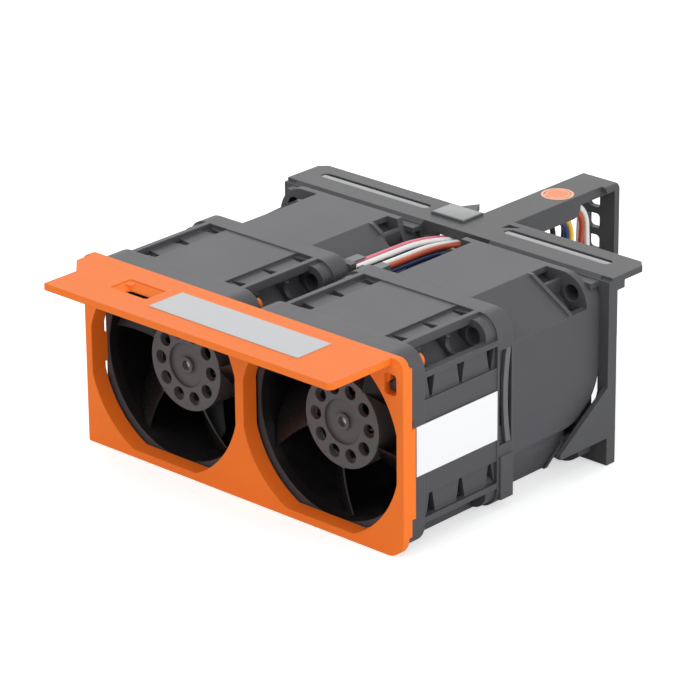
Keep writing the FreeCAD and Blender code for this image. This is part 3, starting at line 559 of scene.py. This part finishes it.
FRAME_GREY = Moulded("frame_grey", (0.066, 0.065, 0.071), rough=0.46, grain=4200.0, wear_and_highlight=0.38, dust=0.02,
                     gloss=0.32)
# Painted shade: the duct inside each frame is darkened near black for its depth, and made glossier.
DUCT_PAINTED_SHADE = (0.0045, 0.0045, 0.005)
DUCT_ROUGH = 0.3
# The rotor is one moulding: its blades are darkened as painted shade and its hub face is made paler as
# painted light.
BLADE_PAINTED_SHADE = Moulded("rotor_black", (0.005, 0.005, 0.0055), rough=0.27, grain=7000.0, wear_and_highlight=0.20,
                      dust=0.02, edge=0.2 * MM, gloss=0.3)
HUB_PAINTED_LIGHT = (0.11, 0.108, 0.11)
HUB_ROUGH = 0.45
TOUCH_RING = Moulded("touch_orange", (0.93, 0.47, 0.30), rough=0.42, shade=0.03, edge=0.1 * MM, gloss=0.3)
TOUCH_DISC = (0.84, 0.24, 0.07)
FINISHES = (
    Moulded("handle_orange", (0.88, 0.180, 0.014), rough=0.52, wear_and_highlight=0.14, shade=0.05, dust=0.01,
            gloss=0.25),
    Moulded("carrier_black", (0.062, 0.062, 0.065), rough=0.46, wear_and_highlight=0.38, dust=0.02, gloss=0.32),
    Moulded("connector_black", (0.014, 0.014, 0.015), rough=0.4),
    Moulded("clip_grey", (0.11, 0.11, 0.115), rough=0.42, wear_and_highlight=0.3),
    Moulded("label_grey", (0.47, 0.47, 0.48), rough=0.36, grain=9000.0, depth=0.003 * MM, shade=0.03,
            streak=0.0, wear_and_highlight=0.0, edge=0.05 * MM, coat=0.1, gloss=0.3),
    Moulded("label_white", (0.84, 0.84, 0.85), rough=0.36, grain=9000.0, depth=0.003 * MM, shade=0.02,
            streak=0.0, wear_and_highlight=0.0, edge=0.05 * MM, coat=0.1),
    Moulded("badge_grey", (0.24, 0.24, 0.24), rough=0.36, grain=6500.0, shade=0.08, wear_and_highlight=0.3),
    # Pale floors of the finger grooves: a painted highlight where the floor catches the light.
    Moulded("groove_painted_highlight", (0.30, 0.30, 0.30), rough=0.42, grain=4200.0, shade=0.12, streak=0.2),
    Moulded("magnet_black", (0.03, 0.028, 0.028), rough=0.6),
    Moulded("board_green", (0.012, 0.07, 0.03), rough=0.35, coat=0.4),
    Moulded("wire_blue", (0.012, 0.03, 0.12), rough=0.38, edge=0.05 * MM, wear_and_highlight=0.0),
    Moulded("wire_yellow", (0.80, 0.50, 0.045), rough=0.38, edge=0.05 * MM, wear_and_highlight=0.0),
    Moulded("wire_red", (0.48, 0.07, 0.02), rough=0.38, edge=0.05 * MM, wear_and_highlight=0.0),
    Moulded("wire_white", (0.82, 0.82, 0.80), rough=0.4, edge=0.05 * MM, wear_and_highlight=0.0),
    Moulded("wire_black", (0.012, 0.012, 0.012), rough=0.38, edge=0.05 * MM, wear_and_highlight=0.0),
    Moulded("wire_pink", (0.68, 0.16, 0.22), rough=0.38, edge=0.05 * MM, wear_and_highlight=0.0),
    Metal("ground_steel", (0.58, 0.58, 0.59), rough=0.25),
    Metal("yoke_steel", (0.40, 0.40, 0.41), rough=0.38),
    Metal("core_steel", (0.33, 0.33, 0.35), rough=0.45, brush=1600.0),
    Metal("winding_copper", (0.72, 0.26, 0.10), rough=0.3, metallic=0.9, wound=1500.0),
    Metal("contact_gold", (0.85, 0.60, 0.25), rough=0.25),
)


class Palette:
    """All materials by name."""

    def __init__(self) -> None:
        """Build every finish that has no zone of its own."""
        self.effects = Effects()
        self.materials = {finish.name: finish.build(self.effects) for finish in FINISHES}

    def add(self, finish: Moulded) -> str:
        """Build one more finish.

        Args:
            finish: The finish.

        Returns:
            Its name.
        """
        self.materials[finish.name] = finish.build(self.effects)
        return finish.name

    def dress(self, piece: bpy.types.Object, finish: str) -> None:
        """Give a piece one finish all over.

        Args:
            piece: A CAD node's object or a modelled piece.
            finish: The finish's name.
        """
        piece.data.materials.clear()
        piece.data.materials.append(self.materials[finish])
        LOG.info("%s: %s", piece.name, finish)

    def dress_nodes(self, finishes: dict[str, str]) -> None:
        """Give each of some CAD nodes its finish.

        Args:
            finishes: The finish's name for each node's name.
        """
        for name, finish in finishes.items():
            self.dress(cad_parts[name], finish)


# ---------------------------------------------------------------- modelling helpers

ROUNDING_SEGMENTS = 3
ROUNDING_PROFILE = 0.5  # A round profile.
SMOOTH_ANGLE = math.radians(30.0)


def middle(name: str) -> Vector:
    """Give the middle of a node's box.

    Args:
        name: The node's name.

    Returns:
        The middle, in metres.
    """
    low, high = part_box(name)
    return (Vector(low) + Vector(high)) / 2


def bevelled_block(name: str, low: Vector, high: Vector, bevel: float) -> bpy.types.Object:
    """Model a plate whose upper and upright edges are rounded.

    Args:
        name: The piece's name.
        low: Its lowest corner.
        high: Its highest corner.
        bevel: Width of the rounding.

    Returns:
        The finished piece, at the origin with its place in its mesh.
    """
    bpy.ops.object.select_all(action="DESELECT")
    centre = (low + high) / 2
    bpy.ops.mesh.primitive_plane_add(size=1.0, location=(centre.x, centre.y, low.z))
    piece = bpy.context.object
    piece.name = name
    piece.scale = (high.x - low.x, high.y - low.y, 1.0)
    bpy.ops.object.transform_apply(location=True, rotation=True, scale=True)
    bpy.ops.object.mode_set(mode="EDIT")
    bpy.ops.mesh.select_all(action="SELECT")
    bpy.ops.mesh.extrude_region_move(TRANSFORM_OT_translate={"value": (0.0, 0.0, high.z - low.z)})
    mesh = bmesh.from_edit_mesh(piece.data)
    for edge in mesh.edges:
        is_upper = all(corner.co.z > centre.z for corner in edge.verts)
        is_upright = abs(edge.verts[0].co.z - edge.verts[1].co.z) > bevel / 2
        edge.select_set(is_upper or is_upright)
    bmesh.update_edit_mesh(piece.data)
    bpy.ops.mesh.bevel(offset=bevel, segments=ROUNDING_SEGMENTS, profile=ROUNDING_PROFILE)
    bpy.ops.mesh.select_all(action="SELECT")
    bpy.ops.mesh.normals_make_consistent(inside=False)
    bpy.ops.object.mode_set(mode="OBJECT")
    bpy.ops.object.shade_smooth_by_angle(angle=SMOOTH_ANGLE)
    piece.select_set(False)
    return piece


# ---------------------------------------------------------------- sub-assemblies

@dataclass
class Handle:
    """The coloured front handle with its blank label.

    Attributes:
        finishes: Finish of each node.
    """

    finishes: dict[str, str] = field(default_factory=lambda: {
        "front_handle": "handle_orange", "handle_label": "label_grey"})

    def build(self, palette: Palette) -> None:
        """Dress the handle and its label.

        Args:
            palette: The materials.
        """
        palette.dress_nodes(self.finishes)


@dataclass
class Fan:
    """One fan: two stages, each with a frame, an impeller and its motor.

    Attributes:
        side: Which of the two fans.
        duct_reach: Radius within which each stage's frame is the duct, glossier and darkened near black as
            painted shade.
        hub_reach: Radius of the impellers' hubs, inside which the rotor gets a paler painted light on its
            lit hub face.
        motor: Finish of each inner piece.
    """

    side: Side
    duct_reach: dict[Stage, float] = field(default_factory=lambda: {
        Stage.FRONT: 19.25 * MM, Stage.REAR: 18.8 * MM})
    hub_reach: float = 9.45 * MM
    motor: dict[str, str] = field(default_factory=lambda: {
        "yoke": "yoke_steel", "magnet": "magnet_black", "shaft": "ground_steel",
        "bearings": "ground_steel", "core": "core_steel", "windings": "winding_copper",
        "board": "board_green"})

    def zoned(self, base: Moulded, radius: float, colour: Colour, rough: float) -> Moulded:
        """Give a finish a zone round this fan's axis.

        Args:
            base: The finish to start from.
            radius: The zone's radius.
            colour: The zone's colour.
            rough: The zone's roughness.

        Returns:
            The new finish, named for this fan.
        """
        axis = middle(self.side.value + "_front_shaft")
        zone = Zone((axis.x, axis.z), radius, colour, rough)
        return replace(base, name="%s_%s" % (self.side.value, base.name), zone=zone)

    def build(self, palette: Palette) -> None:
        """Dress every piece of the fan.

        Args:
            palette: The materials.
        """
        # Painted light on the hub face and painted shade on the blades of each rotor.
        rotor_finish = palette.add(self.zoned(BLADE_PAINTED_SHADE, self.hub_reach, HUB_PAINTED_LIGHT, HUB_ROUGH))
        for stage in Stage:
            stem = "%s_%s_" % (self.side.value, stage.value)
            base = replace(FRAME_GREY, name=stage.value + "_frame_grey")
            # Near-black painted shade inside each frame's duct.
            duct = self.zoned(base, self.duct_reach[stage], DUCT_PAINTED_SHADE, DUCT_ROUGH)
            palette.dress_nodes({stem + "frame": palette.add(duct), stem + "impeller": rotor_finish})
            palette.dress_nodes({stem + piece: finish for piece, finish in self.motor.items()})
        palette.dress_nodes({self.side.value + "_stage_clips": "clip_grey"})


@dataclass
class Carrier:
    """The rear carrier with its wiring arm, touch point, bare badge plate and groove floors, pale plates
    that paint in a highlight.

    Attributes:
        badge_x: The badge's ends.
        badge_y: Its front and back edges.
        badge_rise: How far it stands out of the carrier's own badge block.
        groove_spans: Ends of the strip's two finger grooves.
        groove_y: Front and back edges of the pale floor that lies in each groove, a painted highlight.
        groove_drop: Depth of that floor's top and underside below the strip.
        block_rise: Height of the badge block, the carrier's highest part, over the strip.
        trim_bevel: Rounding of the edges of the badge and the groove floors.
        disc_reach: Radius of the touch point's inner disc.
        finishes: Finish of each node.
    """

    badge_x: tuple[float, float] = (-6.6 * MM, 1.6 * MM)
    badge_y: tuple[float, float] = (20.6 * MM, 26.4 * MM)
    badge_rise: float = 0.2 * MM
    groove_spans: tuple[tuple[float, float], ...] = ((-38.7 * MM, -9.6 * MM), (11.0 * MM, 37.6 * MM))
    groove_y: tuple[float, float] = (21.75 * MM, 23.45 * MM)
    groove_drop: tuple[float, float] = (0.12 * MM, 0.60 * MM)
    block_rise: float = 0.4 * MM
    trim_bevel: float = 0.15 * MM
    disc_reach: float = 2.2 * MM
    finishes: dict[str, str] = field(default_factory=lambda: {
        "rear_carrier": "carrier_black", "wiring_arm": "carrier_black"})

    def badge(self) -> bpy.types.Object:
        """Model the bare plate that lies on the carrier's badge block.

        Returns:
            The plate.
        """
        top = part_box("rear_carrier")[1][2]
        low = Vector((self.badge_x[0], self.badge_y[0], top))
        high = Vector((self.badge_x[1], self.badge_y[1], top + self.badge_rise))
        return bevelled_block("badge_plate", low, high, self.trim_bevel)

    def groove_floor(self, number: int) -> bpy.types.Object:
        """Model the pale floor of one finger groove, a painted highlight where the floor catches the light.

        Args:
            number: Which groove, counted from the left, beginning with 0.

        Returns:
            The floor.
        """
        strip_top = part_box("rear_carrier")[1][2] - self.block_rise
        ends = self.groove_spans[number]
        low = Vector((ends[0], self.groove_y[0], strip_top - self.groove_drop[1]))
        high = Vector((ends[1], self.groove_y[1], strip_top - self.groove_drop[0]))
        return bevelled_block("groove_floor_%d" % (number + 1), low, high, self.trim_bevel)

    def touch_finish(self) -> Moulded:
        """Give the touch point's finish, with its disc in a deeper colour than its ring.

        Returns:
            The finish.
        """
        centre = middle("touch_point")
        zone = Zone((centre.x, centre.y), self.disc_reach, TOUCH_DISC, TOUCH_RING.rough, Plane.LYING)
        return replace(TOUCH_RING, zone=zone)

    def build(self, palette: Palette) -> None:
        """Dress the carrier and lay its badge plate and groove floors.

        Args:
            palette: The materials.
        """
        palette.dress_nodes(self.finishes)
        palette.dress_nodes({"touch_point": palette.add(self.touch_finish())})
        extras = [(self.badge(), "badge_grey")]
        extras += [(self.groove_floor(number), "groove_painted_highlight") for number in range(len(self.groove_spans))]
        for piece, finish in extras:
            palette.dress(piece, finish)
            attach(piece, BODY)


@dataclass
class Wiring:
    """The eight leads, their clip and the connector, and the right fan's blank label.

    Attributes:
        finishes: Finish of each node.
    """

    finishes: dict[str, str] = field(default_factory=lambda: {
        "left_lead_1": "wire_blue", "left_lead_2": "wire_black", "left_lead_3": "wire_white",
        "left_lead_4": "wire_pink", "right_lead_1": "wire_yellow", "right_lead_2": "wire_blue",
        "right_lead_3": "wire_white", "right_lead_4": "wire_red", "wire_clip": "clip_grey",
        "connector_housing": "connector_black", "connector_contacts": "contact_gold",
        "fan_label": "label_white"})

    def build(self, palette: Palette) -> None:
        """Dress the wiring and the label.

        Args:
            palette: The materials.
        """
        palette.dress_nodes(self.finishes)


@dataclass(frozen=True)
class Lamp:
    """A soft square light.

    Attributes:
        name: The light's name.
        place: Its place.
        power: Its power in watts.
        size: Its edge in metres.
    """

    name: str
    place: Place
    power: float
    size: float


@dataclass
class Studio:
    """Pale floor, soft lights and the camera.

    Attributes:
        target: The point that the camera looks at.
        distance: From the camera to the target.
        azimuth: Camera's angle round the object in degrees, 0 on the handle's side.
        elevation: Camera's angle above the horizon in degrees.
        roll: Camera's turn about its own axis in degrees.
        lens: Focal length in millimetres.
        sensor: Width of the sensor in millimetres.
        shift: Sideways and upwards shift of the picture, as shares of its width.
        nearest: Distance within which the camera sees nothing.
        lamps: The soft lights.
        lit_point: The point that the lights face.
        daylight: Strength of the even surroundings.
        daylight_colour: Their colour.
        floor_size: Edge of the floor.
        floor_drop: How far the floor lies below the module.
        floor_grey: The floor's shade.
        floor_rough: Its roughness.
        floor_glow: How much paler the camera sees it.
    """

    target: Vector = field(default_factory=lambda: Vector((0.01120, -0.02324, 0.03403)))
    distance: float = 0.7586
    azimuth: float = 42.752
    elevation: float = 22.159
    roll: float = -0.514
    lens: float = 203.64
    sensor: float = 36.0
    shift: tuple[float, float] = (-0.0007, -0.0413)
    nearest: float = 0.01
    lamps: tuple[Lamp, ...] = (Lamp("key", (-0.15, -0.85, 0.95), 4.0, 0.7),
                               Lamp("fill", (1.00, 0.05, 0.30), 5.4, 0.8),
                               Lamp("rim", (-0.75, 0.85, 0.60), 2.8, 1.0))
    lit_point: Place = (0.0, 0.0, 0.02)
    daylight: float = 0.72
    daylight_colour: Colour = (0.96, 0.98, 1.0)
    floor_size: float = 6.0
    floor_drop: float = 0.1 * MM
    floor_grey: float = 0.80
    floor_rough: float = 0.9
    floor_glow: float = 0.5

    def camera(self) -> None:
        """Make the camera and set it as the scene's."""
        turn = math.radians(self.azimuth)
        rise = math.radians(self.elevation)
        roll = math.radians(self.roll)
        back = Vector((math.sin(turn) * math.cos(rise), -math.cos(turn) * math.cos(rise), math.sin(rise)))
        right = Vector((0.0, 0.0, 1.0)).cross(back).normalized()
        up = back.cross(right)
        across = right * math.cos(roll) + up * math.sin(roll)
        upward = up * math.cos(roll) - right * math.sin(roll)
        data = bpy.data.cameras.new("camera")
        data.lens = self.lens
        data.sensor_width = self.sensor
        data.shift_x, data.shift_y = self.shift
        data.clip_start = self.nearest
        camera = bpy.data.objects.new("camera", data)
        bpy.context.scene.collection.objects.link(camera)
        place = Matrix((across, upward, back)).transposed().to_4x4()
        place.translation = self.target + back * self.distance
        camera.matrix_world = place
        bpy.context.scene.camera = camera

    def light(self, lamp: Lamp) -> None:
        """Add a soft light that faces the module.

        Args:
            lamp: The light.
        """
        data = bpy.data.lights.new(lamp.name, "AREA")
        data.energy = lamp.power
        data.size = lamp.size
        light = bpy.data.objects.new(lamp.name, data)
        bpy.context.scene.collection.objects.link(light)
        light.location = lamp.place
        aim = Vector(self.lit_point) - Vector(lamp.place)
        light.rotation_euler = aim.to_track_quat("-Z", "Y").to_euler()

    def world(self) -> None:
        """Light the scene evenly, and show white past the floor and in what shines."""
        world = bpy.data.worlds.new("studio")
        bpy.context.scene.world = world
        world.use_nodes = True
        tree = Tree(world.node_tree)
        soft = world.node_tree.nodes["Background"]
        soft.inputs["Color"].default_value = (*self.daylight_colour, 1.0)
        soft.inputs["Strength"].default_value = self.daylight
        white = tree.add("Background")
        white.inputs["Color"].default_value = (1.0, 1.0, 1.0, 1.0)
        path = tree.add("LightPath").outputs
        shiny = tree.math("MAXIMUM", path["Is Glossy Ray"], path["Is Transmission Ray"])
        mix = tree.add("MixShader")
        tree.join(tree.math("MAXIMUM", path["Is Camera Ray"], shiny), mix.inputs["Fac"])
        tree.join(soft.outputs["Background"], mix.inputs[1])
        tree.join(white.outputs["Background"], mix.inputs[2])
        tree.join(mix.outputs["Shader"], world.node_tree.nodes["World Output"].inputs["Surface"])

    def floor(self) -> None:
        """Lay a pale floor that keeps the module's shadow."""
        bpy.ops.object.select_all(action="DESELECT")
        bpy.ops.mesh.primitive_plane_add(size=self.floor_size, location=(0.0, 0.0, -self.floor_drop))
        floor = bpy.context.object
        floor.name = "studio_floor"
        material = bpy.data.materials.new("studio_floor")
        material.use_nodes = True
        tree = Tree(material.node_tree)
        shader = material.node_tree.nodes["Principled BSDF"]
        shader.inputs["Base Color"].default_value = (self.floor_grey, self.floor_grey, self.floor_grey, 1.0)
        shader.inputs["Roughness"].default_value = self.floor_rough
        shader.inputs["Emission Color"].default_value = (1.0, 1.0, 1.0, 1.0)
        seen = tree.math("MULTIPLY", tree.add("LightPath").outputs["Is Camera Ray"], self.floor_glow)
        tree.join(seen, shader.inputs["Emission Strength"])
        floor.data.materials.append(material)

    def build(self) -> None:
        """Set up the whole studio."""
        self.camera()
        for lamp in self.lamps:
            self.light(lamp)
        self.world()
        self.floor()
        bpy.context.scene.view_settings.view_transform = "Standard"


def main() -> None:
    """Dress the module and set up the studio."""
    logging.basicConfig(level=logging.INFO, format="%(message)s")
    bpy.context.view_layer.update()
    palette = Palette()
    assemblies = [Handle(), Fan(Side.LEFT), Fan(Side.RIGHT), Carrier(), Wiring()]
    for assembly in assemblies:
        assembly.build(palette)
    Studio().build()


if __name__ == "__main__":
    main()
